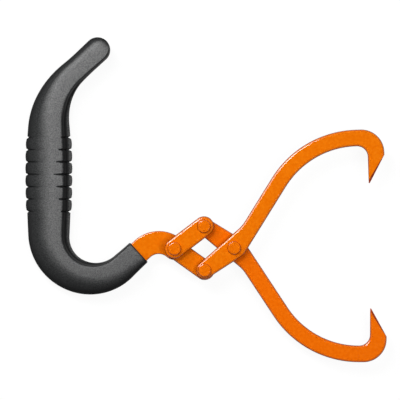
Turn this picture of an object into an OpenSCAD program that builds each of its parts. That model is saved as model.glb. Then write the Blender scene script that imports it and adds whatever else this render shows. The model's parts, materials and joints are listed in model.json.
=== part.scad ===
// Log tongs: a moulded J-shaped grip on a swan-neck steel shank, which carries a pair of hooked
// jaws through a four-bar linkage of two links and the tails of the two jaws.
// The tongs lie flat, as on a bench. +X runs from the grip to the jaws, +Y runs along the grip to
// its free end, and +Z is up. The origin is the middle of their footprint, on the resting plane.
// Plates lie in three layers, counted from the top: 1 upper link and upper jaw, 2 lower link and
// lower jaw, 3 shank, which is a flat bar in the middle plane of the grip.

/* [Grip length] */
// Ribbed straight, from its middle to the upper bend
straight_up = 40; // [36:1:60]
// Ribbed straight, from its middle to the lower bend
straight_down = 51; // [40:1:70]
// Centreline radius of the upper bend
upper_bend_r = 62.5; // [45:0.5:90]
// Turn of the upper bend
upper_bend_angle = 47; // [25:1:60]
// Free end of the grip, from the upper bend to the middle of its round
tip_straight = 29.4; // [15:0.2:45]
// Centreline radius of the lower bend
lower_bend_r = 37.5; // [30:0.5:50]
// Turn of the lower bend
lower_bend_angle = 132.5; // [120:0.5:145]
// Collar end of the grip, from the lower bend to its face
collar_straight = 18.6; // [14:0.2:30]

/* [Grip section] */
// Depth of the grip, square to the plane of the tongs
grip_depth = 25; // [20:0.5:30]
// Width at the round of the free end
tip_w = 21.6; // [18:0.2:26]
// Width where the upper bend ends
neck_w = 22.3; // [19:0.1:27]
// Width where the upper bend starts
shoulder_w = 35.4; // [30:0.2:42]
// Width at the middle of the ribbed straight
palm_w = 38; // [32:0.5:44]
// Width where the lower bend starts
heel_w = 35.2; // [30:0.2:42]
// Width at the middle of the lower bend
sole_w = 29; // [26:0.5:36]
// Width where the lower bend ends
wrist_w = 23.8; // [22:0.2:28]
// Width at the collar face
collar_w = 22.6; // [22.2:0.2:28]
// Width of the flat band beside the crease
flat_w = 8.5; // [6:0.5:10]
// Width of that band at the round of the free end
tip_flat_w = 14; // [6:0.5:14.5]
// Width of the sloping finger wall along the ribbed straight
finger_wall_w = 6.8; // [4:0.2:8]
// Width of that wall where the upper bend ends
neck_wall_w = 2.8; // [1.5:0.1:5]
// Width of that wall at the middle of the lower bend
sole_wall_w = 4.2; // [2:0.1:6]
// Width of that wall where the lower bend ends
wrist_wall_w = 1.9; // [1:0.1:3]
// Width of that wall at both ends of the grip
end_wall_w = 1.6; // [1:0.1:3]

/* [Grip ribs] */
// Number of grooves
groove_count = 7; // [1:2:7]
// Spacing of the grooves
groove_pitch = 10.5; // [8:0.5:11]
// Depth of a groove at the edge
groove_depth = 1.8; // [0.5:0.1:2.5]
// Half the width of a groove
groove_half_w = 1.4; // [0.8:0.1:2]
// Reach of the middle groove over the flat band, from the crease
groove_finger_reach = 8; // [6.5:0.5:8.5]
// Reach of the middle groove over the palm side
groove_palm_reach = 12; // [8:0.5:14]
// Reach that each groove loses against the one before it, away from the middle
groove_reach_step = 2.1; // [1:0.1:2.1]
// Swelling of the rib between two grooves
rib_swell = 1; // [0.2:0.1:1.5]

/* [Shank] */
// Thickness of every plate
plate_t = 6; // [4:0.5:7]
// Width of the shank outside the grip
shank_w = 19.5; // [16:0.5:20]
// Straight of the shank between the collar face and its bend
shank_free = 4.4; // [2:0.2:10]
// Centreline radius of the swan neck
swan_r = 20.2; // [18:0.2:26]
// Turn of the swan neck
swan_angle = 84; // [65:1:90]
// Depth of the full width inside the collar
seat_depth = 4; // [2:0.5:8]
// Width of the tang inside the grip
tang_w = 13; // [9:0.5:15]
// Run of the tang past the lower bend, up the ribbed straight
tang_run = 25; // [5:1:40]
// Clearance all round the tang
tang_clear = 0.1; // [0.05:0.05:0.3]

/* [Linkage] */
// Distance between the two pivots of a link, and of a jaw's tail
link_span = 31.4; // [28:0.2:40]
// Radius of the ends of a link
link_end_r = 8.4; // [7.4:0.2:8.8]
// Angle at rest between a link and the middle line of the tongs
half_angle = 36.4; // [25:0.1:60]
// Angle at rest between that middle line and +X
rest_tilt = 0.8; // [-10:0.1:10]
// Gap between two layers
layer_gap = 0.2; // [0.1:0.05:0.5]

/* [Rivets] */
// Radius of a rivet's shaft
rivet_r = 4; // [3:0.25:5]
// Radial clearance of a rivet in its bores
rivet_clear = 0.05; // [0.02:0.01:0.1]
// Radius of a rivet's head
rivet_head_r = 5.65; // [5.2:0.05:6.8]
// Height of a rivet's head
rivet_head_h = 2.3; // [1.5:0.1:2.5]
// Chamfer round a rivet's head
rivet_edge = 0.5; // [0.2:0.1:1]
// Gap under a rivet's head
head_gap = 0.1; // [0.05:0.05:0.3]

/* [Jaws] */
// Width of the arm
jaw_w = 14; // [12:0.2:16]
// Half the width of the tail at its free end
tail_r = 7.2; // [6.6:0.2:8.4]
// Half the width of the tail at the jaw pivot
eye_r = 9.5; // [8:0.25:10]
// Radius of the elbow between the tail and the arm, on the outer edge
elbow_r = 30; // [10:1:60]
// Angle from the line of the tail to the line of the arm
arm_kick = 21; // [10:1:30]
// Offset of the arm's middle line from the jaw pivot, to the log side
arm_offset = 3; // [1:0.25:4]
// Straight of the arm, from the jaw pivot to the sweep
arm_straight = 67; // [50:1:90]
// Centreline radius of the sweep
sweep_r = 79.6; // [60:0.2:100]
// Turn of the sweep
sweep_angle = 56.6; // [45:0.2:65]
// Outer radius of the hook's corner
hook_out_r = 19.5; // [15:0.5:20]
// Inner radius of the hook's corner
hook_in_r = 9.4; // [6:0.2:12]
// Width of the hook under its corner
hook_w = 14; // [12:0.2:16]
// Turn from the back of the jaw to the inner edge of the hook
hook_turn = 89.6; // [80:0.2:100]
// Depth of the hook, from the back of the jaw to the point
hook_depth = 45.5; // [36:0.5:60]
// Depth from the back of the jaw to the start of the ground slant
knee_depth = 21.7; // [20.5:0.1:28]
// Width left at the point
point_w = 0.8; // [0.4:0.1:2]
// Width of the ground bevel at the point, on both faces
bevel_w = 2.2; // [1:0.1:3]
// Width of that bevel where the slant starts
knee_bevel_w = 0.4; // [0.2:0.1:0.9]
// Slope of that bevel, off the face
bevel_slope = 42; // [20:1:42]

/* [Hidden] */

paint = "#ee6a02";
plastic = "#4c4e4f";
// Fineness of arcs, in degrees, of full rounds, in sides, and of the bar's edges, in mm
arc_step = 4;
round_fn = 72;
bar_step = 2.5;
// Straight left between two arcs of an outline that would otherwise meet
arc_spare = 0.2;
// Overrun of a cut past what it cuts, and a reach past the whole object
over = 4;
far = 400;
mid_z = grip_depth / 2;

// Plane geometry
function unit(v) = v / norm(v);
function dir(a) = [cos(a), sin(a)];
function left_of(a) = [-sin(a), cos(a)];
function turned(p, a) = [p.x * cos(a) - p.y * sin(a), p.x * sin(a) + p.y * cos(a)];
function flipped(p) = [p.x, -p.y];
function cross2(a, b) = a.x * b.y - a.y * b.x;
// Where the line through p along d meets the line through q along e
function meet(p, d, q, e) = p + d * cross2(q - p, e) / cross2(d, e);
// Arc about c from p through the angle sweep, as points
function arc_points(c, p, sweep) =
    let (n = max(1, ceil(abs(sweep) / arc_step)))
    [for (i = [0 : n]) c + turned(p - c, sweep * i / n)];
// Corner b between a and c, rounded to the radius r
function corner(a, b, c, r) =
    let (u = unit(a - b), v = unit(c - b), half = acos(u * v) / 2, m = b + unit(u + v) * r / sin(half))
    r == 0 ? [b] : arc_points(m, b + u * r / tan(half), sign(cross2(b - a, c - b)) * (180 - 2 * half));
function reversed(v) = [for (i = [len(v) - 1 : -1 : 0]) v[i]];
// Turn, in degrees, of the length l along an arc of the radius r
function arc_turn(l, r) = l / r * 180 / PI;
// Outline through corners given as [point, radius]
function outline(c) =
    let (n = len(c))
    [for (i = [0 : n - 1]) each corner(c[(i + n - 1) % n][0], c[i][0], c[(i + 1) % n][0], c[i][1])];

// Smooth curve through the values v at the stations st
function slope(st, v, i) =
    i == 0 || i == len(st) - 1 ? 0 : (v[i + 1] - v[i - 1]) / (st[i + 1] - st[i - 1]);
function smooth(s, st, v, i = 0) =
    s <= st[0] ? v[0] :
    s >= st[len(st) - 1] ? v[len(st) - 1] :
    s > st[i + 1] ? smooth(s, st, v, i + 1) :
    let (h = st[i + 1] - st[i], t = (s - st[i]) / h)
    (1 + 2 * t) * pow(1 - t, 2) * v[i] + t * pow(1 - t, 2) * h * slope(st, v, i)
    + t * t * (3 - 2 * t) * v[i + 1] + t * t * (t - 1) * h * slope(st, v, i + 1);

// Centreline of the grip and shank, as [x, y, heading] at the distance s from the middle of the
// ribbed straight. It counts up towards the collar and down towards the free end.
upper_bend_l = upper_bend_r * upper_bend_angle * PI / 180;
lower_bend_l = lower_bend_r * lower_bend_angle * PI / 180;
s_tip = -(straight_up + upper_bend_l + tip_straight);
s_neck = -(straight_up + upper_bend_l);
s_wrist = straight_down + lower_bend_l;
s_collar = s_wrist + collar_straight;
s_swan = s_collar + shank_free;
s_pivot = s_swan + swan_r * swan_angle * PI / 180;
s_tang = straight_down - tang_run;
collar_heading = lower_bend_angle - 90;

function ahead(q, l) = [each [q.x, q.y] + l * dir(q[2]), q[2]];
// Place on the arc about c at the angle a, on a bend to the left where way is 1, to the right where -1
function bent(c, r, a, way) = [each c + r * dir(a), a + way * 90];
function spine(s) =
    s < s_neck ? ahead(spine(s_neck), s - s_neck) :
    s < -straight_up ? bent([upper_bend_r, straight_up], upper_bend_r,
                            180 + arc_turn(s + straight_up, upper_bend_r), 1) :
    s <= straight_down ? [0, -s, -90] :
    s <= s_wrist ? bent([lower_bend_r, -straight_down], lower_bend_r,
                        180 + arc_turn(s - straight_down, lower_bend_r), 1) :
    s <= s_swan ? ahead(spine(s_wrist), s - s_wrist) :
    bent(swan_centre, swan_r, collar_heading + 90 - arc_turn(s - s_swan, swan_r), -1);
// Point beside the centreline, towards the fingers where side is positive
function beside(s, side) = let (q = spine(s)) [q.x, q.y] + side * left_of(q[2]);
swan_centre = beside(s_swan, -swan_r);

// Stations of the grip's section, from the free end to the collar
s_sole = (straight_down + s_wrist) / 2;
grip_stations = [s_tip, s_neck, -straight_up, 0, straight_down, s_sole, s_wrist, s_collar];
grip_widths = [tip_w, neck_w, shoulder_w, palm_w, heel_w, sole_w, wrist_w, collar_w];
wall_widths = [end_wall_w, neck_wall_w, finger_wall_w, finger_wall_w, finger_wall_w, sole_wall_w,
               wrist_wall_w, end_wall_w];
flat_widths = [tip_flat_w, for (i = [2 : len(grip_stations)]) flat_w];
groove_last = (groove_count - 1) / 2;
ribs_end = groove_last * groove_pitch;

function groove_index(s) = max(-groove_last, min(groove_last, round(s / groove_pitch)));
function groove_share(s) = max(0, 1 - abs(s - groove_index(s) * groove_pitch) / groove_half_w);
function rib_share(s) = abs(s) >= ribs_end ? 0 : pow(abs(sin(180 * s / groove_pitch)), rib_power);
function clamped(x) = max(0, min(1, x));

// Section of the grip at s, as [side, height above the middle plane], with the width shrunk to
// share where the free end rounds off
dome_steps = 7;
flat_steps = 3;
// Powers that shape the dome, the ribs and the height of the free end's round
dome_power = 1.2;
rib_power = 0.7;
tip_power = 0.15;
// Bends of the finger wall, as shares of its width and of the height above the middle plane
wall_bends = [[0.45, 0.56], [0.82, 0.28]];
function section(s, share) =
    let (rib = rib_swell * rib_share(s),
         w = smooth(s, grip_stations, grip_widths) * share,
         wall = smooth(s, grip_stations, wall_widths) * share,
         palm = -w / 2 - rib,
         nose = w / 2 + rib,
         crease = w / 2 - wall,
         flat = smooth(s, grip_stations, flat_widths) * share,
         h = mid_z * pow(share, tip_power),
         top = concat(
             [for (i = [1 : dome_steps]) let (a = 90 * i / dome_steps)
                 [palm + (crease - flat - palm) * (1 - pow(cos(a), dome_power)),
                  h * pow(sin(a), dome_power)]],
             [for (i = [1 : flat_steps]) [crease - flat * (1 - i / flat_steps), h]],
             [for (b = wall_bends) [crease + b[0] * (nose - crease), b[1] * h]]),
         n = len(top))
    concat([[palm, 0]], top, [[nose, 0]], [for (i = [n - 1 : -1 : 0]) flipped(top[i])]);

// Section with the grooves pressed in towards its middle
function grooved(s, share) =
    let (pts = section(s, share),
         loss = groove_reach_step * abs(groove_index(s)),
         w = smooth(s, grip_stations, grip_widths) * share,
         crease = w / 2 - smooth(s, grip_stations, wall_widths) * share,
         finger = max(1, groove_finger_reach - loss),
         palm = max(1, groove_palm_reach - loss))
    [for (p = pts)
        let (reach = max(clamped(1 + (p.x - crease) / finger), clamped(1 - (p.x + w / 2) / palm)),
             depth = groove_depth * groove_share(s) * reach)
        p * (1 - depth / max(1, norm(p)))];

// Rings of the grip: the round of the free end, then even steps with extra rings at each groove
tip_turns = [80, 68, 56, 44, 30, 15];
tip_r = tip_w / 2;
straight_step = 9;
bend_step = 4.5;
// Rings between two grooves, as shares of their spacing
rib_rings = [0.35, 0.65];
function steps(from, to, size) =
    let (n = max(1, ceil((to - from) / size))) [for (i = [0 : n - 1]) from + (to - from) * i / n];
groove_rings = [for (i = [-groove_last : groove_last]) each concat(
    [for (f = [-1, 0, 1]) i * groove_pitch + f * groove_half_w],
    [for (f = rib_rings) if (i < groove_last) (i + f) * groove_pitch])];
ribs_from = -ribs_end - groove_half_w;
ribs_to = ribs_end + 2 * groove_half_w;
grip_rings = concat(
    [for (a = tip_turns) [s_tip - tip_r * sin(a), cos(a)]],
    [for (s = concat(steps(s_tip, s_neck, straight_step), steps(s_neck, ribs_from, bend_step), groove_rings,
                     steps(ribs_to, straight_down, straight_step), steps(straight_down, s_wrist, bend_step),
                     steps(s_wrist, s_collar, straight_step), [s_collar]))
        [s, 1]]);
function placed_ring(r) = [for (p = grooved(r[0], r[1])) [each beside(r[0], p.x), mid_z + p.y]];

// Pivots of the linkage: shank, top, bottom and jaw pivot
pivot_a = beside(s_pivot, 0);
pivot_b = pivot_a + link_span * dir(rest_tilt + half_angle);
pivot_c = pivot_a + link_span * dir(rest_tilt - half_angle);
pivot_d = pivot_b + pivot_c - pivot_a;

// Lines of a jaw in its own frame, where its pivot is the origin, the tail lies along -X and the
// outer edge is on the +Y side: the arm, the back past the sweep, and the hook
arm = arm_kick;
back = arm - sweep_angle;
hook = back - hook_turn;
arm_foot = -arm_offset * left_of(arm);
arm_half = jaw_w / 2 * left_of(arm);
back_half = jaw_w / 2 * left_of(back);
sweep_lead = sweep_r * tan(sweep_angle / 2);
sweep_corner = arm_foot + (arm_straight + sweep_lead) * dir(arm);
hook_in = sweep_corner + (sweep_lead + hook_in_r) * dir(back);
hook_out = hook_in + hook_w * left_of(hook);
shoulder = meet(sweep_corner + back_half, dir(back), hook_out, dir(hook));
knee = shoulder + knee_depth * dir(hook);
point_in = meet(sweep_corner + back_half, dir(back), hook_in, dir(hook)) + hook_depth * dir(hook);
point_out = point_in + point_w * left_of(hook);
tail_end = -link_span - tail_r;
tail_side = [-link_span, tail_r];
tail_run = [link_span, eye_r - tail_r];

function jaw_outline() = outline([
    [meet([tail_end, 0], [0, 1], tail_side, tail_run), tail_r - arc_spare],
    [meet(tail_side, tail_run, arm_foot + arm_half, dir(arm)), elbow_r],
    [meet(arm_foot + arm_half, dir(arm), sweep_corner + back_half, dir(back)), sweep_r + jaw_w / 2],
    [shoulder, hook_out_r],
    [knee, 0],
    [point_out, 0],
    [point_in, 0],
    [meet(sweep_corner - back_half, dir(back), hook_in, dir(hook)), hook_in_r - arc_spare],
    [meet(arm_foot - arm_half, dir(arm), sweep_corner - back_half, dir(back)), sweep_r - jaw_w / 2],
    [meet(flipped(tail_side), flipped(tail_run), arm_foot - arm_half, dir(arm)), eye_r],
    [meet([tail_end, 0], [0, 1], flipped(tail_side), flipped(tail_run)), tail_r - arc_spare]]);

function upper_place(p) = pivot_d + turned(p, rest_tilt + half_angle);
function lower_place(p) = pivot_d + turned(flipped(turned(p, half_angle)), rest_tilt);

// Footprint, and the shift that brings its middle to the origin
reach_points = concat(
    [for (r = grip_rings, q = placed_ring(r)) [q.x, q.y]],
    [for (p = jaw_outline()) each [upper_place(p), lower_place(p)]]);
low = [min([for (p = reach_points) p.x]), min([for (p = reach_points) p.y])];
high = [max([for (p = reach_points) p.x]), max([for (p = reach_points) p.y])];
module in_frame() {
    translate(-[each (low + high) / 2, 0]) children();
}

// Bottom of a layer
function layer_z(k) = mid_z - plate_t / 2 + (3 - k) * (plate_t + layer_gap);
// Bottom of the rear head of a rivet through the layers 1 to k
function head_base(k) = layer_z(k) - head_gap - rivet_head_h;

module layer(k) {
    translate([0, 0, layer_z(k)]) linear_extrude(plate_t) children();
}

module bore(p) {
    translate([p.x, p.y, layer_z(3) - over])
        cylinder(h = 3 * (plate_t + layer_gap) + 2 * over, r = rivet_r + rivet_clear, $fn = round_fn);
}

// Edge of the bar from s0 to s1, beside the centreline
function bar_edge(s0, s1, side) =
    let (n = max(1, ceil((s1 - s0) / bar_step))) [for (i = [0 : n]) beside(s0 + (s1 - s0) * i / n, side)];

module bar_plan(from, shoulder, to, narrow, wide) {
    polygon(concat(
        bar_edge(from, shoulder, -narrow / 2),
        bar_edge(shoulder, to, -wide / 2),
        reversed(bar_edge(shoulder, to, wide / 2)),
        reversed(bar_edge(from, shoulder, narrow / 2))));
}

// Moulded grip, with the pocket that holds the tang
module grip() {
    rings = [for (r = grip_rings) placed_ring(r)];
    m = len(rings[0]);
    last = (len(rings) - 1) * m;
    faces = concat(
        [for (i = [1 : m - 2]) [0, i, i + 1]],
        [for (k = [0 : len(rings) - 2], i = [0 : m - 1]) each
            let (a = k * m + i, b = k * m + (i + 1) % m) [[a, a + m, b + m], [a, b + m, b]]],
        [for (i = [1 : m - 2]) [last, last + i + 1, last + i]]);
    color(plastic) in_frame() difference() {
        polyhedron(points = [for (r = rings) each r], faces = faces, convexity = 6);
        translate([0, 0, layer_z(3) - tang_clear]) linear_extrude(plate_t + 2 * tang_clear)
            bar_plan(s_tang - tang_clear, s_collar - seat_depth - tang_clear, s_collar + over,
                     tang_w + 2 * tang_clear, shank_w + 2 * tang_clear);
    }
}

// Flat steel bar: tang, full width through the collar, swan neck and round lug
module shank() {
    color(paint) in_frame() difference() {
        layer(3) {
            bar_plan(s_tang, s_collar - seat_depth, s_pivot, tang_w, shank_w);
            translate(pivot_a) circle(r = shank_w / 2, $fn = round_fn);
        }
        bore(pivot_a);
    }
}

// Flat bar with round ends about the origin and about the point l along X
module link_plan(l) {
    circle(r = link_end_r, $fn = round_fn);
    translate([l, 0]) circle(r = link_end_r, $fn = round_fn);
    translate([0, -link_end_r]) square([l, 2 * link_end_r]);
}

module link(k) {
    difference() {
        layer(k) link_plan(link_span);
        bore([0, 0]);
        bore([link_span, 0]);
    }
}

module upper_link() {
    color(paint) in_frame() translate(pivot_a) rotate(rest_tilt + half_angle) link(1);
}

module lower_link() {
    color(paint) in_frame() translate(pivot_a) rotate(rest_tilt - half_angle) link(2);
}

// Ground bevels along the slant of the hook, on both faces of the layer k, widening to the point
module slant_bevels(k) {
    run = point_out - knee;
    widening = atan((bevel_w - knee_bevel_w) / norm(run));
    for (side = [0, 1])
        translate([each knee, layer_z(k) + plate_t / 2]) rotate(atan2(run.y, run.x)) mirror([0, 0, side])
            translate([0, -knee_bevel_w, plate_t / 2]) rotate(-widening) translate([-over, 0, 0])
                rotate([90, 0, 90]) linear_extrude(norm(run) + 2 * over)
                    polygon([[0, 0], [0, over], [over, over], [over, -over * tan(bevel_slope)]]);
}

module jaw(k) {
    difference() {
        layer(k) polygon(jaw_outline());
        bore([0, 0]);
        bore([-link_span, 0]);
        slant_bevels(k);
    }
}

module upper_jaw() {
    color(paint) in_frame() translate(pivot_d) rotate(rest_tilt + half_angle) jaw(1);
}

module lower_jaw() {
    color(paint) in_frame() translate(pivot_d) rotate(rest_tilt) mirror([0, 1, 0]) rotate(half_angle) jaw(2);
}

// Rivet through the layers 1 to k, with a flat-topped head at each end
module rivet(p, k) {
    base = head_base(k);
    seat = base + rivet_head_h;
    crown = layer_z(1) + plate_t + head_gap;
    top = crown + rivet_head_h;
    inner = rivet_head_r - rivet_edge;
    color(paint) in_frame() translate(p) rotate_extrude($fn = round_fn)
        polygon([[0, base], [inner, base], [rivet_head_r, base + rivet_edge], [rivet_head_r, seat],
                 [rivet_r, seat], [rivet_r, crown], [rivet_head_r, crown], [rivet_head_r, top - rivet_edge],
                 [inner, top], [0, top]]);
}

module shank_rivet() {
    rivet(pivot_a, 3);
}

module upper_rivet() {
    rivet(pivot_b, 2);
}

module lower_rivet() {
    rivet(pivot_c, 2);
}

module jaw_rivet() {
    rivet(pivot_d, 2);
}

grip();
shank();
upper_link();
lower_link();
upper_jaw();
lower_jaw();
shank_rivet();
upper_rivet();
lower_rivet();
jaw_rivet();
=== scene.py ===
import json
import math

import bmesh
import bpy
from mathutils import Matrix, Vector
from mathutils.geometry import delaunay_2d_cdt


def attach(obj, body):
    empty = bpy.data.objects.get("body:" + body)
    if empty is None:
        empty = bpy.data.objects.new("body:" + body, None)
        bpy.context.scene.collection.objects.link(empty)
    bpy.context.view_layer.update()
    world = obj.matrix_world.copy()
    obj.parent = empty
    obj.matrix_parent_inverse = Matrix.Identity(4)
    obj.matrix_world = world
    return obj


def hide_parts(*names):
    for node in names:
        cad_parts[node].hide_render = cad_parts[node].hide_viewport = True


# Log tongs lying flat, seen from straight above: a near-black J-shaped grip on a swan-neck shank,
# with two hooked jaws on a riveted four-bar linkage. Lengths are in millimetres up to the meshes,
# which are in metres, as lamps and camera are. Names and sizes are those of the part's source,
# except that the section of the grip, its grooves, and the rounds of edges and rivet heads are
# shaped more finely here, with values of their own.
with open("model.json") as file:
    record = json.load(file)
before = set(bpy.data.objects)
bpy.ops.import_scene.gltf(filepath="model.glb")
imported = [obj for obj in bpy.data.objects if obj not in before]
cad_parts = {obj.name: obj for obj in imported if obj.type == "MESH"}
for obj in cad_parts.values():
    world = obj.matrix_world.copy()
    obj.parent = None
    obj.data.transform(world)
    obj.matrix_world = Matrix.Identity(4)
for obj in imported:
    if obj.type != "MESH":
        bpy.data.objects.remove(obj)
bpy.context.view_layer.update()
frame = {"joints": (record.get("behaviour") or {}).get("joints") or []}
MM = 0.001

# Grip: its centreline, then its values at the stations along it, which are the free end, the neck,
# both ends and the middle of the ribbed straight, the sole, the wrist and the collar
STRAIGHT_UP, STRAIGHT_DOWN = 40, 51
UPPER_BEND_R, UPPER_BEND = 62.5, math.radians(47)
TIP_STRAIGHT = 29.4
LOWER_BEND_R, LOWER_BEND = 37.5, math.radians(132.5)
COLLAR_STRAIGHT = 18.6
MID_Z = 12.5
GRIP_WIDTHS = [21.6, 22.3, 35.4, 38, 35.2, 29, 23.8, 22.6]
WALL_WIDTHS = [1.6, 2.5, 6, 6, 5.8, 3.7, 1.8, 1.6]
FLAT_WIDTHS = [3, 5, 8.5, 8.5, 8.5, 8.5, 9, 10]
DOME_POWERS = [0.48, 0.52, 1.1, 1.2, 1.2, 1.2, 0.7, 0.5]

# Grooves and ribs: each groove reaches less far over the grip than the one nearer the middle, and
# widens from the first of its half widths at its ends to the second at the side
GROOVE_COUNT, GROOVE_PITCH, GROOVE_DEPTH, GROOVE_PALM_DEPTH = 7, 10.5, 1.9, 1.25
GROOVE_FINGER_REACH, GROOVE_PALM_REACH, GROOVE_REACH_STEP = 8, 11, 2.1
GROOVE_HALF_WIDTHS = (0.25, 1.15)
LAST_GROOVE = GROOVE_COUNT // 2
RIB_SWELL, RIB_POWER = 1, 0.7

# Shank, linkage, rivets and jaws
PLATE_T, LAYER_GAP = 6, 0.2
SHANK_W, SHANK_FREE, SWAN_R, SWAN_TURN = 19.5, 4.4, 20.2, math.radians(84)
SEAT_DEPTH = 4
TANG_W, TANG_RUN, TANG_CLEAR = 13, 25, 0.1
LINK_SPAN, LINK_END_R = 31.4, 8.4
HALF_ANGLE, REST_TILT = math.radians(36.4), math.radians(0.8)
RIVET_R, BORE_R, HEAD_R, HEAD_H, HEAD_GAP = 4, 4.05, 5.65, 2.3, 0.1
HEAD_ROUND, HEAD_CROWN, HEAD_FOOT = 1.2, 0.02, 0.1
CROWN_SHARES = (0.97, 0.7, 0.35)
EDGE_R, SHANK_EDGE_R = 2, 1.2
JAW_W, TAIL_R, EYE_R, ELBOW_R = 14, 7.2, 9.5, 30
ARM_KICK, ARM_OFFSET, ARM_STRAIGHT = math.radians(21), 3, 67
SWEEP_R, SWEEP_TURN = 79.6, math.radians(56.6)
HOOK_OUT_R, HOOK_IN_R, HOOK_W, HOOK_TURN = 19.5, 9.4, 14, math.radians(89.6)
HOOK_DEPTH, KNEE_DEPTH, POINT_W = 45.5, 21.7, 0.8
BEVEL_W, KNEE_BEVEL_W, BEVEL_SLOPE = 2.2, 0.4, math.radians(42)
GROUND_POINT_L = 2.6
ARC_SPARE = 0.2

# Most of the hook's width that its bevel and its inner round take, and the share of the slant
# along which that round grows to its full radius
BEVEL_SHARE, INNER_ROUND_SHARE, INNER_EDGE_SHARE = 0.6, 0.18, 0.75

# Fineness of arcs, along them and as an angle, of straight edges, of the tang, and of rims, bores
# and heads. The support ring lies just inside a rim and keeps the shading of the face level.
ARC_CHORD, ARC_STEP = 0.8, math.radians(2.5)
EDGE_STEP, TANG_STEP = 1.2, 4
RIM_STEPS, ROUND_SIDES = 5, 48
SUPPORT_W, SUPPORT_SHARE = 0.15, 0.1
STRAIGHT_ENOUGH = 0.1
SHARP_ANGLE = math.radians(33)


def along(a):
    return Vector((math.cos(a), math.sin(a)))


def left_of(a):
    return Vector((-math.sin(a), math.cos(a)))


def turned(p, a):
    return Vector((p.x * math.cos(a) - p.y * math.sin(a), p.x * math.sin(a) + p.y * math.cos(a)))


def flipped(p):
    return Vector((p.x, -p.y))


def cross(a, b):
    return a.x * b.y - a.y * b.x


def meet(p, d, q, e):
    """Where the line through p along d meets the line through q along e"""
    return p + d * (cross(q - p, e) / cross(d, e))


def clamped(x):
    return max(0.0, min(1.0, x))


def even_steps(start, end, size):
    """Values from start up to but without end, in even steps of about the size"""
    n = max(1, math.ceil((end - start) / size))
    return [start + (end - start) * i / n for i in range(n)]


def smooth_curve(s, stations, values):
    """Smooth curve through the values at the stations, level at both ends"""
    if s <= stations[0]:
        return values[0]
    if s >= stations[-1]:
        return values[-1]
    i = max(k for k in range(len(stations) - 1) if stations[k] <= s)

    def slope(k):
        if k in (0, len(stations) - 1):
            return 0
        return (values[k + 1] - values[k - 1]) / (stations[k + 1] - stations[k - 1])

    h = stations[i + 1] - stations[i]
    t = (s - stations[i]) / h
    return ((1 + 2 * t) * (1 - t) ** 2 * values[i] + t * (1 - t) ** 2 * h * slope(i)
            + t * t * (3 - 2 * t) * values[i + 1] + t * t * (t - 1) * h * slope(i + 1))


# Centreline of the grip and shank, at the distance s from the middle of the ribbed straight
S_NECK = -(STRAIGHT_UP + UPPER_BEND_R * UPPER_BEND)
S_TIP = S_NECK - TIP_STRAIGHT
S_WRIST = STRAIGHT_DOWN + LOWER_BEND_R * LOWER_BEND
S_COLLAR = S_WRIST + COLLAR_STRAIGHT
S_SWAN = S_COLLAR + SHANK_FREE
S_PIVOT = S_SWAN + SWAN_R * SWAN_TURN
S_TANG = STRAIGHT_DOWN - TANG_RUN
S_SOLE = (STRAIGHT_DOWN + S_WRIST) / 2
COLLAR_HEADING = LOWER_BEND - math.pi / 2
GRIP_STATIONS = [S_TIP, S_NECK, -STRAIGHT_UP, 0, STRAIGHT_DOWN, S_SOLE, S_WRIST, S_COLLAR]


def spine(s):
    """Place and heading on the centreline, in the source's own plane"""
    if s < S_NECK:
        place, heading = spine(S_NECK)
        return place + (s - S_NECK) * along(heading), heading
    if s < -STRAIGHT_UP:
        a = math.pi + (s + STRAIGHT_UP) / UPPER_BEND_R
        return Vector((UPPER_BEND_R, STRAIGHT_UP)) + UPPER_BEND_R * along(a), a + math.pi / 2
    if s <= STRAIGHT_DOWN:
        return Vector((0, -s)), -math.pi / 2
    if s <= S_WRIST:
        a = math.pi + (s - STRAIGHT_DOWN) / LOWER_BEND_R
        return Vector((LOWER_BEND_R, -STRAIGHT_DOWN)) + LOWER_BEND_R * along(a), a + math.pi / 2
    if s <= S_SWAN:
        place, heading = spine(S_WRIST)
        return place + (s - S_WRIST) * along(heading), heading
    place, heading = spine(S_SWAN)
    centre = place - SWAN_R * left_of(heading)
    a = COLLAR_HEADING + math.pi / 2 - (s - S_SWAN) / SWAN_R
    return centre + SWAN_R * along(a), a - math.pi / 2


# Pivots of the linkage: three are joints, and the low one makes the rhombus complete
PIVOTS = {j["name"]: Vector(j["pos_m"][:2]) / MM for j in frame["joints"]}
SHANK_PIVOT = PIVOTS["tongs_swing"]
TOP_PIVOT = PIVOTS["lower_jaw_turn"]
JAW_PIVOT = PIVOTS["jaws_opening"]
LOW_PIVOT = SHANK_PIVOT + JAW_PIVOT - TOP_PIVOT
SHIFT = SHANK_PIVOT - spine(S_PIVOT)[0]


def beside(s, side):
    """Point beside the centreline, towards the fingers where side is positive"""
    place, heading = spine(s)
    return place + side * left_of(heading) + SHIFT


def layer_low(layer):
    """Height of the under side of a layer of plates, of which 1 is in front and 3 is the shank's"""
    return MID_Z - PLATE_T / 2 + (3 - layer) * (PLATE_T + LAYER_GAP)


def make_piece(name, points, faces, finishes, materials):
    """Mesh from points in millimetres, with the number of a finish for each face"""
    bm = bmesh.new()
    verts = [bm.verts.new(Vector(p) * MM) for p in points]
    for corners, finish in zip(faces, finishes):
        face = bm.faces.new([verts[i] for i in corners])
        face.material_index = finish
        face.smooth = True
    bmesh.ops.recalc_face_normals(bm, faces=bm.faces)
    for edge in bm.edges:
        edge.smooth = edge.calc_face_angle(0) < SHARP_ANGLE
    mesh = bpy.data.meshes.new(name)
    bm.to_mesh(mesh)
    bm.free()
    for material in materials:
        mesh.materials.append(material)
    piece = bpy.data.objects.new(name, mesh)
    bpy.context.scene.collection.objects.link(piece)
    return piece


def dress(piece, node, body):
    """The piece stands for the node and rides on the body"""
    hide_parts(node)
    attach(piece, body)


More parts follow.
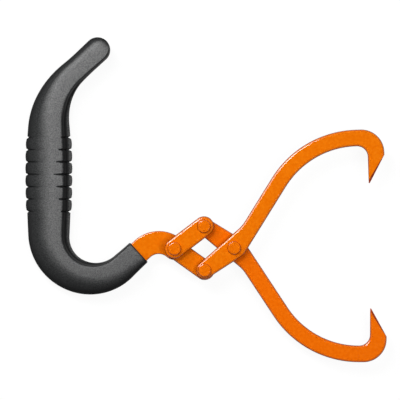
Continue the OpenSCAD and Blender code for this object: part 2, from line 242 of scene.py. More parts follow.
# Outlines of plates. A corner is (point, edge before, edge after), and an edge is (round or bevel,
# width and depth that it takes off the face, how far the face itself sinks there).
ROUND_EDGE = ("round", EDGE_R, EDGE_R, 0)
SHANK_EDGE = ("round", SHANK_EDGE_R, SHANK_EDGE_R, 0)


def rounded(a, b, c, r):
    """Corner b between a and c, rounded to the radius r"""
    u, v = (a - b).normalized(), (c - b).normalized()
    half = math.acos(max(-1.0, min(1.0, u.dot(v)))) / 2
    centre = b + (u + v).normalized() * (r / math.sin(half))
    start = b + u * (r / math.tan(half)) - centre
    sweep = math.copysign(math.pi - 2 * half, cross(b - a, c - b))
    n = max(1, math.ceil(abs(sweep) / max(ARC_STEP, ARC_CHORD / r)))
    return [centre + turned(start, sweep * i / n) for i in range(n + 1)]


def counter_clockwise(corners):
    points = [c[0] for c in corners]
    area = sum(cross(p, q) for p, q in zip(points, points[1:] + points[:1]))
    return corners if area > 0 else [(p, after, before) for p, before, after in reversed(corners)]


def edge_profile(edge, share):
    """Width and depth that an edge takes, from its wall at share 0 to its face at share 1"""
    kind, width, depth, sink = edge
    if kind == "bevel":
        return width * share, depth * (1 - share) + sink
    a = share * math.pi / 2
    return width * (1 - math.cos(a)), depth * (1 - math.sin(a)) + sink


def rim_ring(corners, share, support=False):
    """Points of a rim at the share of its profile, as (x, y, depth below the face)"""
    ring = []
    n = len(corners)
    for i, (p, before, after) in enumerate(corners):
        d0 = (p - corners[i - 1][0]).normalized()
        d1 = (corners[(i + 1) % n][0] - p).normalized()
        n0, n1 = Vector((d0.y, -d0.x)), Vector((d1.y, -d1.x))
        (w0, z0), (w1, z1) = edge_profile(before, share), edge_profile(after, share)
        if support:
            w0 += min(SUPPORT_W, SUPPORT_SHARE * before[1])
            w1 += min(SUPPORT_W, SUPPORT_SHARE * after[1])
        if abs(cross(n0, n1)) < STRAIGHT_ENOUGH:
            q = p - (n0 + n1).normalized() * (w0 + w1) / 2
        else:
            q = meet(p - n0 * w0, d0, p - n1 * w1, d1)
        ring.append((q.x, q.y, (z0 + z1) / 2))
    return ring


def circle_points(centre, r, sides=ROUND_SIDES):
    return [centre + r * along(2 * math.pi * i / sides) for i in range(sides)]


def strip(a, b, n):
    """Faces of a closed strip between the ring that starts at a and the one that starts at b"""
    return [(a + i, a + (i + 1) % n, b + (i + 1) % n, b + i) for i in range(n)]


def filled(loops):
    """Triangles between an outer loop and the loops inside it, as numbers into the loops"""
    flat = [Vector(p[:2]) for loop in loops for p in loop]
    edges, loop_of, start = [], {}, 0
    for number, loop in enumerate(loops):
        n = len(loop)
        edges += [(start + i, start + (i + 1) % n) for i in range(n)]
        loop_of.update((start + i, number) for i in range(n))
        start += n
    _, _, faces, origins, _, _ = delaunay_2d_cdt(flat, edges, [], 1, 1e-6)
    faces = [tuple(origins[i][0] for i in face) for face in faces]
    in_hole = [{loop_of[i] for i in face} for face in faces]
    return [face for face, numbers in zip(faces, in_hole) if len(numbers) > 1 or 0 in numbers]


def plate_mesh(corners, bores, low, high):
    """Points and faces of a plate with rounded or bevelled rims and real bores"""
    corners = counter_clockwise(corners)
    n = len(corners)
    shares = [i / RIM_STEPS for i in range(RIM_STEPS + 1)]
    rings = [rim_ring(corners, s) for s in shares] + [rim_ring(corners, 1, support=True)]
    points, faces = [], []
    for ring in reversed(rings):
        points += [(x, y, low + d) for x, y, d in ring]
    for ring in rings:
        points += [(x, y, high - d) for x, y, d in ring]
    for k in range(2 * len(rings) - 1):
        faces += strip(k * n, (k + 1) * n, n)
    circles = [circle_points(centre, BORE_R) for centre in bores]
    cap = filled([rings[-1]] + circles)
    starts = []
    for base, z in ((0, low), ((2 * len(rings) - 1) * n, high)):
        start = len(points)
        starts.append(start)
        points += [(p.x, p.y, z) for circle in circles for p in circle]
        faces += [tuple(base + i if i < n else start + i - n for i in face) for face in cap]
    for number in range(len(circles)):
        faces += strip(*(start + number * ROUND_SIDES for start in starts), ROUND_SIDES)
    return points, faces


def plate(name, mesh, place, materials, finish=lambda p: 0):
    """Plate piece, with each point sent through place, and finish giving the finish at a face"""
    points, faces = mesh
    finishes = [finish(sum((Vector(points[i]) for i in face), Vector()) / len(face)) for face in faces]
    return make_piece(name, [place(Vector(p)) for p in points], faces, finishes, materials)


# Jaw in its own frame: its pivot is the origin, the tail lies along -X, and the outer edge is on
# the +Y side
BACK = ARM_KICK - SWEEP_TURN
HOOK = BACK - HOOK_TURN
ARM_FOOT = -ARM_OFFSET * left_of(ARM_KICK)
ARM_HALF = JAW_W / 2 * left_of(ARM_KICK)
BACK_HALF = JAW_W / 2 * left_of(BACK)
SWEEP_LEAD = SWEEP_R * math.tan(SWEEP_TURN / 2)
SWEEP_CORNER = ARM_FOOT + (ARM_STRAIGHT + SWEEP_LEAD) * along(ARM_KICK)
HOOK_IN = SWEEP_CORNER + (SWEEP_LEAD + HOOK_IN_R) * along(BACK)
HOOK_OUT = HOOK_IN + HOOK_W * left_of(HOOK)
SHOULDER = meet(SWEEP_CORNER + BACK_HALF, along(BACK), HOOK_OUT, along(HOOK))
KNEE = SHOULDER + KNEE_DEPTH * along(HOOK)
POINT_IN = meet(SWEEP_CORNER + BACK_HALF, along(BACK), HOOK_IN, along(HOOK)) + HOOK_DEPTH * along(HOOK)
POINT_OUT = POINT_IN + POINT_W * left_of(HOOK)
SLANT_L = (KNEE - POINT_OUT).dot(-along(HOOK))


def hook_width(p):
    """Width of the hook at the point, from its tip up, and the share of the slant passed"""
    rise = clamped((POINT_IN - p).dot(along(HOOK)) / SLANT_L)
    return POINT_W + (HOOK_W - POINT_W) * rise, rise


def face_sink(width):
    """How far the face sinks where the hook is narrower than its bevel"""
    return max(0.0, BEVEL_W - width) * math.tan(BEVEL_SLOPE)


def inner_edge(p):
    width, _ = hook_width(p)
    r = min(EDGE_R, INNER_ROUND_SHARE * width)
    return "round", r, r, face_sink(width)


def slant_edge(p):
    width, rise = hook_width(p)
    w = min(BEVEL_W + (KNEE_BEVEL_W - BEVEL_W) * rise, BEVEL_SHARE * width)
    return "bevel", w, w * math.tan(BEVEL_SLOPE), face_sink(width)


def between(p, q):
    n = math.ceil((q - p).length / EDGE_STEP)
    return [p.lerp(q, i / n) for i in range(1, n)]


def jaw_corners():
    """Corners of a jaw's outline, from the end of its tail along the outer edge and back"""
    tail_side, tail_run = Vector((-LINK_SPAN, TAIL_R)), Vector((LINK_SPAN, EYE_R - TAIL_R))
    tail_end, up = Vector((-LINK_SPAN - TAIL_R, 0)), Vector((0, 1))
    arm, back = along(ARM_KICK), along(BACK)
    tips = [
        (meet(tail_end, up, tail_side, tail_run), TAIL_R - ARC_SPARE),
        (meet(tail_side, tail_run, ARM_FOOT + ARM_HALF, arm), ELBOW_R),
        (meet(ARM_FOOT + ARM_HALF, arm, SWEEP_CORNER + BACK_HALF, back), SWEEP_R + JAW_W / 2),
        (SHOULDER, HOOK_OUT_R),
        (KNEE, 0),
        (POINT_OUT, 0),
        (POINT_IN, 0),
        (meet(SWEEP_CORNER - BACK_HALF, back, HOOK_IN, along(HOOK)), HOOK_IN_R - ARC_SPARE),
        (meet(ARM_FOOT - ARM_HALF, arm, SWEEP_CORNER - BACK_HALF, back), SWEEP_R - JAW_W / 2),
        (meet(flipped(tail_side), flipped(tail_run), ARM_FOOT - ARM_HALF, arm), EYE_R),
        (meet(tail_end, up, flipped(tail_side), flipped(tail_run)), TAIL_R - ARC_SPARE)]
    corners = []
    for i, (p, r) in enumerate(tips):
        if r:
            corners += [(q, ROUND_EDGE, ROUND_EDGE)
                        for q in rounded(tips[i - 1][0], p, tips[(i + 1) % len(tips)][0], r)]
        elif p == KNEE:
            corners.append((p, ROUND_EDGE, slant_edge(p)))
            corners += [(q, slant_edge(q), slant_edge(q)) for q in between(KNEE, POINT_OUT)
                        if (q - KNEE).length > 2 * EDGE_R]
        elif p == POINT_OUT:
            corners.append((p, slant_edge(p), inner_edge(p)))
        else:
            corners.append((p, inner_edge(p), inner_edge(p)))
            corners += [(q, inner_edge(q), inner_edge(q))
                        for q in between(POINT_IN, POINT_IN - INNER_EDGE_SHARE * SLANT_L * along(HOOK))]
    return corners


def jaw_finish(p):
    """Number of the ground finish on the slant and the point, and of the paint elsewhere"""
    p = p.xy
    if (p - POINT_IN).length < GROUND_POINT_L:
        return 1
    slant = (POINT_OUT - KNEE).normalized()
    off_edge = abs(cross(slant, p - KNEE))
    _, rise = hook_width(p)
    on_slant = 0 < (p - KNEE).dot(slant) < (POINT_OUT - KNEE).length
    return 1 if on_slant and off_edge < BEVEL_W + (KNEE_BEVEL_W - BEVEL_W) * rise else 0


def upper_place(p):
    q = JAW_PIVOT + turned(p, REST_TILT + HALF_ANGLE)
    return q.x, q.y, p.z


def lower_place(p):
    q = JAW_PIVOT + turned(flipped(turned(p, HALF_ANGLE)), REST_TILT)
    return q.x, q.y, p.z


def link_corners():
    ends = [(Vector((LINK_SPAN, 0)), -math.pi / 2), (Vector((0, 0)), math.pi / 2)]
    n = math.ceil(math.pi * LINK_END_R / ARC_CHORD)
    return [(c + LINK_END_R * along(a + math.pi * i / n), ROUND_EDGE, ROUND_EDGE)
            for c, a in ends for i in range(n + 1)]


def build_jaws(paint, ground):
    """Two equal jaws, of which the lower one is turned over"""
    for name, layer, place in (("upper_jaw", 1, upper_place), ("lower_jaw", 2, lower_place)):
        mesh = plate_mesh(jaw_corners(), [Vector((0, 0)), Vector((-LINK_SPAN, 0))],
                          layer_low(layer), layer_low(layer) + PLATE_T)
        jaw = plate(name + "_plate", mesh, place, [paint[name], ground], jaw_finish)
        dress(jaw, name, name)


def build_links(paint):
    for name, layer, angle in (("upper_link", 1, HALF_ANGLE), ("lower_link", 2, -HALF_ANGLE)):
        mesh = plate_mesh(link_corners(), [Vector((0, 0)), Vector((LINK_SPAN, 0))],
                          layer_low(layer), layer_low(layer) + PLATE_T)

        def place(p, angle=angle):
            q = SHANK_PIVOT + turned(p, REST_TILT + angle)
            return q.x, q.y, p.z
        dress(plate(name + "_plate", mesh, place, [paint]), name, name)


def build_shank(paint):
    """Flat bar with its tang, full width through the collar, swan neck and round lug"""
    seat = S_COLLAR - SEAT_DEPTH

    def side_run(side):
        narrow = [beside(s, side * TANG_W / 2) for s in even_steps(S_TANG, seat, TANG_STEP) + [seat]]
        wide = [beside(s, side * SHANK_W / 2)
                for s in [seat] + even_steps(seat + 2 * EDGE_R, S_PIVOT, EDGE_STEP)]
        return narrow + wide
    lug_start = spine(S_PIVOT)[1] - math.pi / 2
    n = math.ceil(math.pi * SHANK_W / 2 / ARC_CHORD)
    lug = [SHANK_PIVOT + SHANK_W / 2 * along(lug_start + math.pi * i / n) for i in range(n + 1)]
    outline = side_run(-1) + lug + side_run(1)[::-1]
    corners = [(p, SHANK_EDGE, SHANK_EDGE) for p in outline]
    mesh = plate_mesh(corners, [SHANK_PIVOT], layer_low(3), layer_low(3) + PLATE_T)
    dress(plate("shank_bar", mesh, tuple, [paint]), "shank", "handle")


def build_rivet(name, centre, last_layer, body, paint):
    """Rivet with a flat-topped head at each end, through the layers from the front to the last"""
    seat = layer_low(last_layer) - HEAD_GAP
    crown = layer_low(1) + PLATE_T + HEAD_GAP
    turns = [math.pi / 2 * i / RIM_STEPS for i in range(RIM_STEPS + 1)]
    flat_r = HEAD_R - HEAD_ROUND
    rim_h = HEAD_H - HEAD_CROWN

    def head(face, way):
        foot = [(RIVET_R, face), (HEAD_R - HEAD_FOOT, face), (HEAD_R, face + way * HEAD_FOOT)]
        rim = [(flat_r + HEAD_ROUND * math.cos(a), face + way * (rim_h - HEAD_ROUND * (1 - math.sin(a))))
               for a in turns]
        top = [(flat_r * share, face + way * (rim_h + HEAD_CROWN * (1 - share ** 2)))
               for share in CROWN_SHARES]
        return foot + rim + top

    profile = head(seat, -1)[::-1] + head(crown, 1)
    sides = ROUND_SIDES
    angles = [2 * math.pi * i / sides for i in range(sides)]
    points = [(centre.x + r * math.cos(a), centre.y + r * math.sin(a), z)
              for r, z in profile for a in angles]
    faces = []
    for ring in range(len(profile) - 1):
        faces += strip(ring * sides, (ring + 1) * sides, sides)
    for start, z in ((0, seat - HEAD_H), ((len(profile) - 1) * sides, crown + HEAD_H)):
        points.append((centre.x, centre.y, z))
        faces += [(start + i, start + (i + 1) % sides, len(points) - 1) for i in range(sides)]
    rivet = make_piece(name + "_turned", points, faces, [0] * len(faces), [paint])
    dress(rivet, name, body)


# Grip section, as (side, height above the middle plane), from the palm over the dome, the flat band
# and the crease, down the finger wall and its bead to the nose, and back under. WALL_RISES are the
# heights of a wide wall at the shares of its width, and so give its valley and bead. A narrow wall
# falls by PLAIN_FALL, in a line and in a curve. Towards the free end's tip the height shrinks by
# TIP_POWER of the width.
DOME_STEPS, FLAT_STEPS, CREASE_STEPS, WALL_STEPS = 15, 3, 4, 14
CREASE_ROUND, CREASE_SHARE, CREASE_FALL = 1.7, 0.4, 0.3
WALL_RISES = [1, 0.9, 0.7, 0.5, 0.355, 0.305, 0.285, 0.27, 0.235, 0]
WALL_SHARES = [0, 0.1, 0.2, 0.3, 0.45, 0.6, 0.72, 0.86, 0.95, 1]
NARROW_WALL, WIDE_WALL = 1.6, 3.7
PLAIN_FALL = (0.35, 0.65)
TIP_POWER = 0.15

# Rings along the grip: beside the middle of each groove in millimetres, over each rib as shares of
# the pitch, round the tip in degrees, round the collar as (distance back, inset), and elsewhere at
# even steps that start and stop short of the ribs and the collar
GROOVE_RINGS = (-1.6, -1.2, -0.95, -0.7, -0.45, -0.2, 0, 0.2, 0.45, 0.7, 0.95, 1.2)
RIB_RINGS = (0.15, 0.27, 0.39, 0.5, 0.61, 0.73)
TIP_RINGS = (87, 82, 76, 70, 63, 56, 48, 40, 32, 24, 16, 8)
COLLAR_RINGS = ((0.6, 0.1), (0.25, 0.35), (0.05, 0.7))
RING_STEP, RIB_MARGIN, COLLAR_MARGINS = 1.4, 0.8, (1.2, 1.0)
COLLAR_INSET = 1.1


def groove_depth(x, off, reach):
    """Depth of a groove at the side x and at the distance off from its middle"""
    if reach <= 0:
        return 0
    half = GROOVE_HALF_WIDTHS[0] + (GROOVE_HALF_WIDTHS[1] - GROOVE_HALF_WIDTHS[0]) * reach
    full = GROOVE_DEPTH if x > 0 else GROOVE_PALM_DEPTH
    return full * math.sqrt(reach) * clamped(1 - off / half)


def grip_section(s, share):
    """Closed section of the grip at the distance s, with its width shrunk to the share"""
    number = max(-LAST_GROOVE, min(LAST_GROOVE, round(s / GROOVE_PITCH)))
    off = abs(s - number * GROOVE_PITCH)
    rib = 0
    if abs(s) < LAST_GROOVE * GROOVE_PITCH:
        rib = RIB_SWELL * abs(math.sin(math.pi * s / GROOVE_PITCH)) ** RIB_POWER
    w = smooth_curve(s, GRIP_STATIONS, GRIP_WIDTHS) * share
    crease = w / 2 - smooth_curve(s, GRIP_STATIONS, WALL_WIDTHS) * share
    band = smooth_curve(s, GRIP_STATIONS, FLAT_WIDTHS) * share
    power = smooth_curve(s, GRIP_STATIONS, DOME_POWERS)
    palm, nose = -w / 2 - rib, w / 2 + rib
    h = MID_Z * share ** TIP_POWER
    top = []
    for i in range(1, DOME_STEPS + 1):
        a = math.pi / 2 * i / DOME_STEPS
        top.append((palm + (crease - band - palm) * (1 - math.cos(a) ** power), h * math.sin(a) ** power))
    wall_w = smooth_curve(s, GRIP_STATIONS, WALL_WIDTHS)
    beaded = clamped((wall_w - NARROW_WALL) / (WIDE_WALL - NARROW_WALL))
    soft = min(CREASE_ROUND, CREASE_SHARE * wall_w) * share
    fall = CREASE_FALL * soft
    for i in range(1, FLAT_STEPS + 1):
        top.append((crease - band + (band - soft) * i / FLAT_STEPS, h))
    for i in range(1, CREASE_STEPS + 1):
        t = i / CREASE_STEPS
        top.append((crease - soft * (1 - t), h - fall * t * t))
    for i in range(1, WALL_STEPS):
        t = i / WALL_STEPS
        plain = 1 - PLAIN_FALL[0] * t - PLAIN_FALL[1] * t ** 3
        bead = smooth_curve(t, WALL_SHARES, WALL_RISES)
        top.append((crease + t * (nose - crease), (h - fall) * (plain + (bead - plain) * beaded)))
    reach_loss = GROOVE_REACH_STEP * abs(number)
    shaped = []
    for x, z in top:
        reach = max(clamped(1 + (x - crease) / max(1, GROOVE_FINGER_REACH - reach_loss)),
                    clamped(1 - (x + w / 2) / max(1, GROOVE_PALM_REACH - reach_loss)))
        scale = 1 - groove_depth(x, off, reach) / max(1, math.hypot(x, z))
        shaped.append((x * scale, z * scale))
    side = clamped(1 - off / GROOVE_HALF_WIDTHS[1])
    return [(palm + GROOVE_PALM_DEPTH * side, 0), *shaped, (nose - GROOVE_DEPTH * side, 0),
            *[(x, -z) for x, z in reversed(shaped)]]


def grip_rings():
    """Distances of the grip's rings, with the share that the round of the free end leaves"""
    ribs = [i * GROOVE_PITCH + d for i in range(-LAST_GROOVE, LAST_GROOVE + 1) for d in GROOVE_RINGS]
    ribs += [(i + f) * GROOVE_PITCH for i in range(-LAST_GROOVE, LAST_GROOVE) for f in RIB_RINGS]
    ribs.sort()
    tip_r = GRIP_WIDTHS[0] / 2
    tip = [(S_TIP - tip_r * math.sin(math.radians(a)), math.cos(math.radians(a))) for a in TIP_RINGS]
    before = even_steps(S_TIP, ribs[0] - RIB_MARGIN, RING_STEP)
    after = even_steps(ribs[-1] + RIB_MARGIN, S_COLLAR - COLLAR_MARGINS[0], RING_STEP)
    return tip + [(s, 1.0) for s in before + ribs + after + [S_COLLAR - COLLAR_MARGINS[1]]]


def pocket(width):
    """Corners of the pocket in the collar that holds a width of the shank"""
    w, h = width / 2 + TANG_CLEAR, PLATE_T / 2 + TANG_CLEAR
    return [(-w, -h), (w, -h), (w, h), (-w, h)]


def build_grip(plastic):
    """Grip swept along the centreline, with its collar's pocket for the shank and tang"""
    points, faces = [], []
    collar = grip_section(S_COLLAR, 1.0)
    m = len(collar)

    def add_ring(s, section):
        start = len(points)
        for side, height in section:
            p = beside(s, side)
            points.append((p.x, p.y, MID_Z + height))
        return start

    def collar_inset(inset):
        return [(x * (1 - inset / (GRIP_WIDTHS[-1] / 2)), z * (1 - inset / MID_Z)) for x, z in collar]

    rings = [add_ring(s, grip_section(s, share)) for s, share in grip_rings()]
    rings += [add_ring(S_COLLAR - back, collar_inset(inset)) for back, inset in COLLAR_RINGS]
    for a, b in zip(rings, rings[1:]):
        faces += strip(a, b, m)
    faces.append(tuple(rings[0] + i for i in range(m)))

    # Collar face round the mouth of the pocket, and the pocket's walls and steps
    seat = S_COLLAR - SEAT_DEPTH - TANG_CLEAR
    lip = collar_inset(COLLAR_INSET)
    lip_start = add_ring(S_COLLAR, lip)
    mouth = [add_ring(S_COLLAR, pocket(SHANK_W)), add_ring(seat, pocket(SHANK_W)),
             add_ring(seat, pocket(TANG_W))]
    mouth += [add_ring(s, pocket(TANG_W)) for s in even_steps(S_TANG, seat, TANG_STEP)[::-1]]
    faces += strip(rings[-1], lip_start, m)
    cap = filled([lip, pocket(SHANK_W)])
    faces += [tuple(lip_start + i if i < m else mouth[0] + i - m for i in face) for face in cap]
    for a, b in zip(mouth, mouth[1:]):
        faces += strip(a, b, 4)
    faces.append(tuple(mouth[-1] + i for i in range(4)))
    grip = make_piece("grip_moulding", points, faces, [0] * len(faces), [plastic])
    dress(grip, "grip", "handle")


# Finishes. The node groups give noise, and a mask of how level the surface is, in the object's own
# space. An enamel is the dark and light ends of its mottle, and has painted shade as a dark line
# on its rims.
PAINTED_RIM_SHADE = (0.2, 0.018, 0.0)
FRONT_ENAMEL = ((0.785, 0.154, 0.0), (0.85, 0.191, 0.002))
ENAMELS = {"shank": FRONT_ENAMEL, "link": FRONT_ENAMEL, "upper_jaw": FRONT_ENAMEL,
           # The lower jaw's enamel is a redder copy of the front one: partly its own tone, and partly
           # painted light, its red raised to make up for the shade that falls on the rear jaw.
           "lower_jaw": ((0.83, 0.138, 0.0), (0.89, 0.166, 0.002)),
           "rivet": ((0.775, 0.147, 0.0), (0.84, 0.178, 0.002))}
GROUND_DARK, GROUND_LIGHT = (0.3, 0.03, 0.0), (0.5, 0.06, 0.0)
PLASTIC_DARK, PLASTIC_LIGHT = (0.015, 0.0155, 0.016), (0.06, 0.0615, 0.062)
PLASTIC_SIDE_SHADE = (0.018, 0.0185, 0.019)
PEEL_HEIGHT, GROUND_HEIGHT, GRAIN_HEIGHT = 0.006, 0.01, 0.04


def new_group(name, inputs):
    """Group with the inputs given as (name, value), and a Mask as its output"""
    group = bpy.data.node_groups.new(name, "ShaderNodeTree")
    for socket, value in inputs:
        made = group.interface.new_socket(name=socket, in_out="INPUT", socket_type="NodeSocketFloat")
        made.default_value = value
    group.interface.new_socket(name="Mask", in_out="OUTPUT", socket_type="NodeSocketFloat")
    return group, group.nodes.new("NodeGroupInput"), group.nodes.new("NodeGroupOutput")


def noise_group(name, detail, roughness):
    """Group with a Scale per metre and a Low and High limit, which puts out a Mask from noise"""
    group, given, out = new_group(name, (("Scale", 1000.0), ("Low", 0.35), ("High", 0.65)))
    nodes, links = group.nodes, group.links
    place = nodes.new("ShaderNodeTexCoord")
    noise = nodes.new("ShaderNodeTexNoise")
    noise.inputs["Detail"].default_value = detail
    noise.inputs["Roughness"].default_value = roughness
    spread = nodes.new("ShaderNodeMapRange")
    links.new(place.outputs["Object"], noise.inputs["Vector"])
    links.new(given.outputs["Scale"], noise.inputs["Scale"])
    links.new(noise.outputs["Fac"], spread.inputs["Value"])
    links.new(given.outputs["Low"], spread.inputs["From Min"])
    links.new(given.outputs["High"], spread.inputs["From Max"])
    links.new(spread.outputs["Result"], out.inputs["Mask"])
    return group


def level_group(name):
    """Group whose Mask goes from 0 where the surface is as steep as Low to 1 where it is as level
    as High, both as the height of its normal, on the upper and the under side alike"""
    group, given, out = new_group(name, (("Low", 0.1), ("High", 0.9)))
    nodes, links = group.nodes, group.links
    place = nodes.new("ShaderNodeTexCoord")
    parts = nodes.new("ShaderNodeSeparateXYZ")
    height = nodes.new("ShaderNodeMath")
    height.operation = "ABSOLUTE"
    spread = nodes.new("ShaderNodeMapRange")
    links.new(place.outputs["Normal"], parts.inputs["Vector"])
    links.new(parts.outputs["Z"], height.inputs[0])
    links.new(height.outputs[0], spread.inputs["Value"])
    links.new(given.outputs["Low"], spread.inputs["From Min"])
    links.new(given.outputs["High"], spread.inputs["From Max"])
    links.new(spread.outputs["Result"], out.inputs["Mask"])
    return group


def place_effect(material, group, **values):
    node = material.node_tree.nodes.new("ShaderNodeGroup")
    node.node_tree = group
    for socket, value in values.items():
        node.inputs[socket].default_value = value
    return node.outputs["Mask"]


def mix_colours(material, mask, dark, light):
    """Colour between two, each of which is a tuple or another node's output"""
    node = material.node_tree.nodes.new("ShaderNodeMix")
    node.data_type = "RGBA"
    links = material.node_tree.links
    for socket, colour in (("A", dark), ("B", light)):
        if isinstance(colour, tuple):
            node.inputs[socket].default_value = (*colour, 1)
        else:
            links.new(colour, node.inputs[socket])
    links.new(mask, node.inputs["Factor"])
    return node.outputs["Result"]


def limit_mask(material, mask, low, high):
    """Mask that goes from low to high where the given one goes from 0 to 1"""
    node = material.node_tree.nodes.new("ShaderNodeMapRange")
    node.inputs["To Min"].default_value = low
    node.inputs["To Max"].default_value = high
    material.node_tree.links.new(mask, node.inputs["Value"])
    return node.outputs["Result"]


def combine_masks(material, a, b, operation="MULTIPLY"):
    node = material.node_tree.nodes.new("ShaderNodeMath")
    node.operation = operation
    material.node_tree.links.new(a, node.inputs[0])
    material.node_tree.links.new(b, node.inputs[1])
    return node.outputs[0]


def new_finish(name):
    material = bpy.data.materials.new(name)
    material.use_nodes = True
    return material, material.node_tree.nodes["Principled BSDF"], material.node_tree.links


def raise_grain(material, shader, mask, height_mm):
    bump = material.node_tree.nodes.new("ShaderNodeBump")
    bump.inputs["Strength"].default_value = 1
    bump.inputs["Distance"].default_value = height_mm * MM
    material.node_tree.links.new(mask, bump.inputs["Height"])
    material.node_tree.links.new(bump.outputs["Normal"], shader.inputs["Normal"])


def orange_enamel(name, effects, dark, light):
    """Glossy orange enamel with orange peel, a soft mottle, and a dark line of painted shade along its
    rims
    """
    grain, mottle, level = effects
    material, shader, links = new_finish(name)
    peel = place_effect(material, grain, Scale=650)
    soft = place_effect(material, mottle, Scale=420)

    # The dark line is painted shade on the round, between the upright wall and the upper part of the
    # round
    wall = limit_mask(material, place_effect(material, level, Low=0.04, High=0.25), 1, 0)
    upper = place_effect(material, level, Low=0.35, High=0.86)
    painted = combine_masks(material, upper, wall, "MAXIMUM")
    paint = mix_colours(material, soft, dark, light)
    links.new(mix_colours(material, painted, PAINTED_RIM_SHADE, paint), shader.inputs["Base Color"])

    # The round is glossy, and level faces and upright walls are duller
    dull_wall = limit_mask(material, wall, 0, 0.12)
    dull_face = limit_mask(material, place_effect(material, level, Low=0.975, High=0.997), 1, 0.22)
    rim = combine_masks(material, place_effect(material, level, Low=0.45, High=0.6), dull_face)
    links.new(combine_masks(material, rim, dull_wall, "MAXIMUM"), shader.inputs["Coat Weight"])
    links.new(limit_mask(material, peel, 0.26, 0.38), shader.inputs["Roughness"])
    shader.inputs["Specular IOR Level"].default_value = 0
    shader.inputs["Coat Roughness"].default_value = 0.12
    shader.inputs["Coat IOR"].default_value = 1.7
    raise_grain(material, shader, peel, PEEL_HEIGHT)
    return material


def ground_enamel(name, effects):
    """Thin dull enamel over the ground slant of a hook"""
    grain, mottle, _ = effects
    material, shader, links = new_finish(name)
    fine = place_effect(material, grain, Scale=900)
    soft = place_effect(material, mottle, Scale=160)
    links.new(mix_colours(material, soft, GROUND_DARK, GROUND_LIGHT), shader.inputs["Base Color"])
    links.new(limit_mask(material, fine, 0.4, 0.55), shader.inputs["Roughness"])
    raise_grain(material, shader, fine, GROUND_HEIGHT)
    return material


def grained_plastic(name, effects):
    """Near-black plastic with a fine grain, darkened on the steep sides as painted shade, and whose satin
    sheen fades there
    """
    grain, mottle, level = effects
    material, shader, links = new_finish(name)
    fine = place_effect(material, grain, Scale=1150, Low=0.3, High=0.7)
    soft = place_effect(material, mottle, Scale=120)
    # Steep sides take the darker side colour as painted shade, and level parts take the grained colour
    side_shade_level = place_effect(material, level, Low=0.6, High=1)
    speck = mix_colours(material, fine, PLASTIC_DARK, PLASTIC_LIGHT)
    links.new(mix_colours(material, side_shade_level, PLASTIC_SIDE_SHADE, speck), shader.inputs["Base Color"])
    links.new(limit_mask(material, soft, 0.7, 0.8), shader.inputs["Roughness"])

    # The sheen sets in softly towards the flat band, and is weak on the upright sides
    flat = place_effect(material, level, Low=0.875, High=1)
    flat = combine_masks(material, flat, flat)
    upright = limit_mask(material, place_effect(material, level, Low=0, High=0.35), 0.28, 0)
    sheen = combine_masks(material, flat, upright, "MAXIMUM")
    grained = limit_mask(material, fine, 0.5, 1)
    links.new(combine_masks(material, sheen, grained), shader.inputs["Coat Weight"])
    shader.inputs["Specular IOR Level"].default_value = 0.06
    shader.inputs["Coat Roughness"].default_value = 0.58
    shader.inputs["Coat IOR"].default_value = 2.6
    raise_grain(material, shader, fine, GRAIN_HEIGHT)
    return material


def build_finishes():
    effects = (noise_group("surface_grain", detail=2, roughness=0.55),
               noise_group("soft_mottle", detail=3, roughness=0.5),
               level_group("level_parts"))
    finishes = {piece: orange_enamel(piece + "_enamel", effects, dark, light)
                for piece, (dark, light) in ENAMELS.items()}
    finishes["ground"] = ground_enamel("ground_slant_enamel", effects)
    finishes["grip"] = grained_plastic("grip_plastic", effects)
    return finishes


# Studio, in metres and watts. A lamp is (name, place, width and height, power, whether reflections
# show it): three from the upper left in an arc, and one that only fills the shadows.
LAMPS = (("high_lamp", (-0.4, 0.72, 1.55), (0.45, 0.45), 10.3, True),
         ("middle_lamp", (-0.76, 0.72, 1.15), (0.6, 0.6), 7.2, True),
         ("low_lamp", (-0.85, 0.85, 0.55), (0.75, 0.55), 4.9, True),
         ("fill_lamp", (0.65, -0.12, 1.7), (0.8, 0.8), 14.3, False))
LAMP_AIM = Vector((0, 0, 0.01))
SKY_STRENGTH = 0.06
FLOOR_HALF, FLOOR_GREY, FLOOR_LIFT = 4, 0.1, 0.92
CAMERA_LENS, CAMERA_SENSOR, CAMERA_CLIP = 350, 36, 10
VIEW_MIDDLE, VIEW_WIDTH = (-0.00494, -0.00034), 0.34


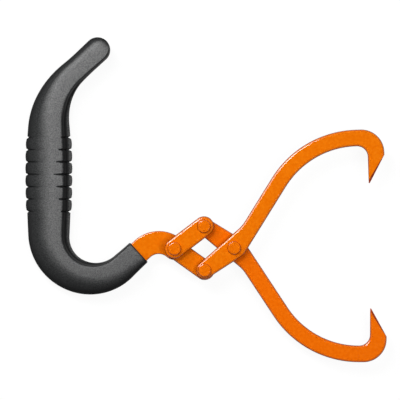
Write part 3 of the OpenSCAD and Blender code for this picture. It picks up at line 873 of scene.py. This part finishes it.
def build_floor():
    """Plain white floor that keeps the shadow, lifted to white for what sees it directly"""
    bm = bmesh.new()
    bmesh.ops.create_grid(bm, x_segments=1, y_segments=1, size=FLOOR_HALF)
    mesh = bpy.data.meshes.new("floor")
    bm.to_mesh(mesh)
    bm.free()
    material = bpy.data.materials.new("floor_white")
    material.use_nodes = True
    nodes, links = material.node_tree.nodes, material.node_tree.links
    shader = nodes["Principled BSDF"]
    shader.inputs["Base Color"].default_value = (FLOOR_GREY, FLOOR_GREY, FLOOR_GREY, 1)
    shader.inputs["Roughness"].default_value = 0.9
    shader.inputs["Specular IOR Level"].default_value = 0
    shader.inputs["Emission Color"].default_value = (1, 1, 1, 1)
    seen = nodes.new("ShaderNodeLightPath")
    glossy, clear, lift = (nodes.new("ShaderNodeMath") for _ in range(3))
    glossy.operation, clear.operation, lift.operation = "MAXIMUM", "MAXIMUM", "MULTIPLY"
    links.new(seen.outputs["Is Camera Ray"], glossy.inputs[0])
    links.new(seen.outputs["Is Glossy Ray"], glossy.inputs[1])
    links.new(glossy.outputs[0], clear.inputs[0])
    links.new(seen.outputs["Is Transmission Ray"], clear.inputs[1])
    links.new(clear.outputs[0], lift.inputs[0])
    lift.inputs[1].default_value = FLOOR_LIFT
    links.new(lift.outputs[0], shader.inputs["Emission Strength"])
    mesh.materials.append(material)
    floor = bpy.data.objects.new("floor", mesh)
    bpy.context.scene.collection.objects.link(floor)


def build_lamp(name, place, size, power, mirrored):
    lamp = bpy.data.lights.new(name, "AREA")
    lamp.shape = "RECTANGLE"
    lamp.size, lamp.size_y = size
    lamp.energy = power
    holder = bpy.data.objects.new(name, lamp)
    holder.location = place
    holder.visible_glossy = mirrored
    holder.rotation_euler = (LAMP_AIM - Vector(place)).to_track_quat("-Z", "Y").to_euler()
    bpy.context.scene.collection.objects.link(holder)


def build_studio():
    world = bpy.data.worlds.new("studio")
    world.use_nodes = True
    sky = world.node_tree.nodes["Background"]
    sky.inputs["Color"].default_value = (1, 1, 1, 1)
    sky.inputs["Strength"].default_value = SKY_STRENGTH
    bpy.context.scene.world = world
    for lamp in LAMPS:
        build_lamp(*lamp)
    build_floor()


def build_camera():
    """Camera straight above, which takes in the photograph's width at the middle plane"""
    data = bpy.data.cameras.new("camera")
    data.lens = CAMERA_LENS
    data.sensor_width = CAMERA_SENSOR
    data.clip_end = CAMERA_CLIP
    camera = bpy.data.objects.new("camera", data)
    camera.location = (*VIEW_MIDDLE, MID_Z * MM + VIEW_WIDTH * CAMERA_LENS / CAMERA_SENSOR)
    bpy.context.scene.collection.objects.link(camera)
    bpy.context.scene.camera = camera


bpy.context.scene.view_settings.view_transform = "Standard"
build_camera()
build_studio()
finishes = build_finishes()
build_grip(finishes["grip"])
build_shank(finishes["shank"])
build_links(finishes["link"])
build_jaws(finishes, finishes["ground"])
for rivet, centre, last_layer, body in (("shank_rivet", SHANK_PIVOT, 3, "handle"),
                                        ("upper_rivet", TOP_PIVOT, 2, "upper_link"),
                                        ("lower_rivet", LOW_PIVOT, 2, "upper_jaw"),
                                        ("jaw_rivet", JAW_PIVOT, 2, "lower_jaw")):
    build_rivet(rivet, centre, last_layer, body, finishes["rivet"])
